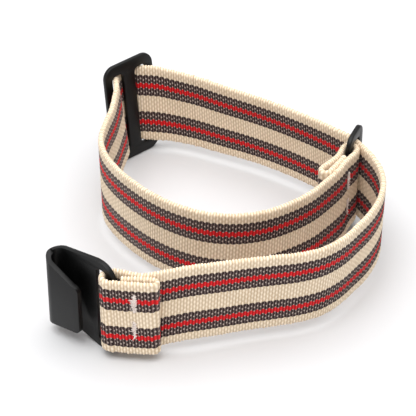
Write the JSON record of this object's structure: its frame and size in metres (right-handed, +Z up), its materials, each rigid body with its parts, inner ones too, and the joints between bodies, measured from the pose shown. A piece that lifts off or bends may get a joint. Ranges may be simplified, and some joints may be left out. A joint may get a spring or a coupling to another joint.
{
  "type": "elastic hook-clasp strap",
  "caption": "Striped knitted elastic strap on edge, threaded through a ring and a slotted catch plate, with a folded metal hook clasp sewn in at its end.",
  "frame": {"origin": "under the middle of the part's box, at the level it stands on", "axes": "+Z up along the strap's width, +X to the right with the hook at the front left, +Y away from the front run towards the catch plate"},
  "size_m": [0.0738, 0.0834, 0.0259],
  "materials": {
    "black_metal": "black satin coating on pressed steel sheet",
    "striped_knit": "ribbed elastic knit, cream with dark brown flecked bands and red centre lines",
    "sewing_thread": "white polyester thread in dense bar tacks"
  },
  "bodies": {
    "strap": {"strap_hook_fold": "striped_knit", "strap_front_run": "striped_knit", "strap_right_bend": "striped_knit", "strap_back_run": "striped_knit", "strap_left_bend": "striped_knit", "strap_inner_run": "striped_knit", "strap_ring_fold": "striped_knit", "bar_tack_hook_upper": "sewing_thread", "bar_tack_hook_lower": "sewing_thread", "bar_tack_ring_upper": "sewing_thread", "bar_tack_ring_lower": "sewing_thread"},
    "hook": {"hook_clasp": "black_metal"},
    "catch": {"catch_plate": "black_metal", "strap_catch_pass": "striped_knit"},
    "end_ring": {"ring": "black_metal"}
  },
  "joints": [
    {"name": "hook_swing", "type": "hinge", "parent": "strap", "child": "hook", "pos_m": [-0.02272, -0.03823, 0.0116], "axis": [0, 0, 1], "range_deg": [-40, 130]},
    {"name": "catch_rock", "type": "hinge", "parent": "strap", "child": "catch", "pos_m": [-0.02112, 0.03587, 0.01299], "axis": [-0.0691, 0.0784, 0.9945], "range_deg": [-6, 6]},
    {"name": "ring_rock", "type": "hinge", "parent": "strap", "child": "end_ring", "pos_m": [0.02908, 0.00517, 0.0127], "axis": [0, 0, 1], "range_deg": [-6, 3.5]}
  ]
}
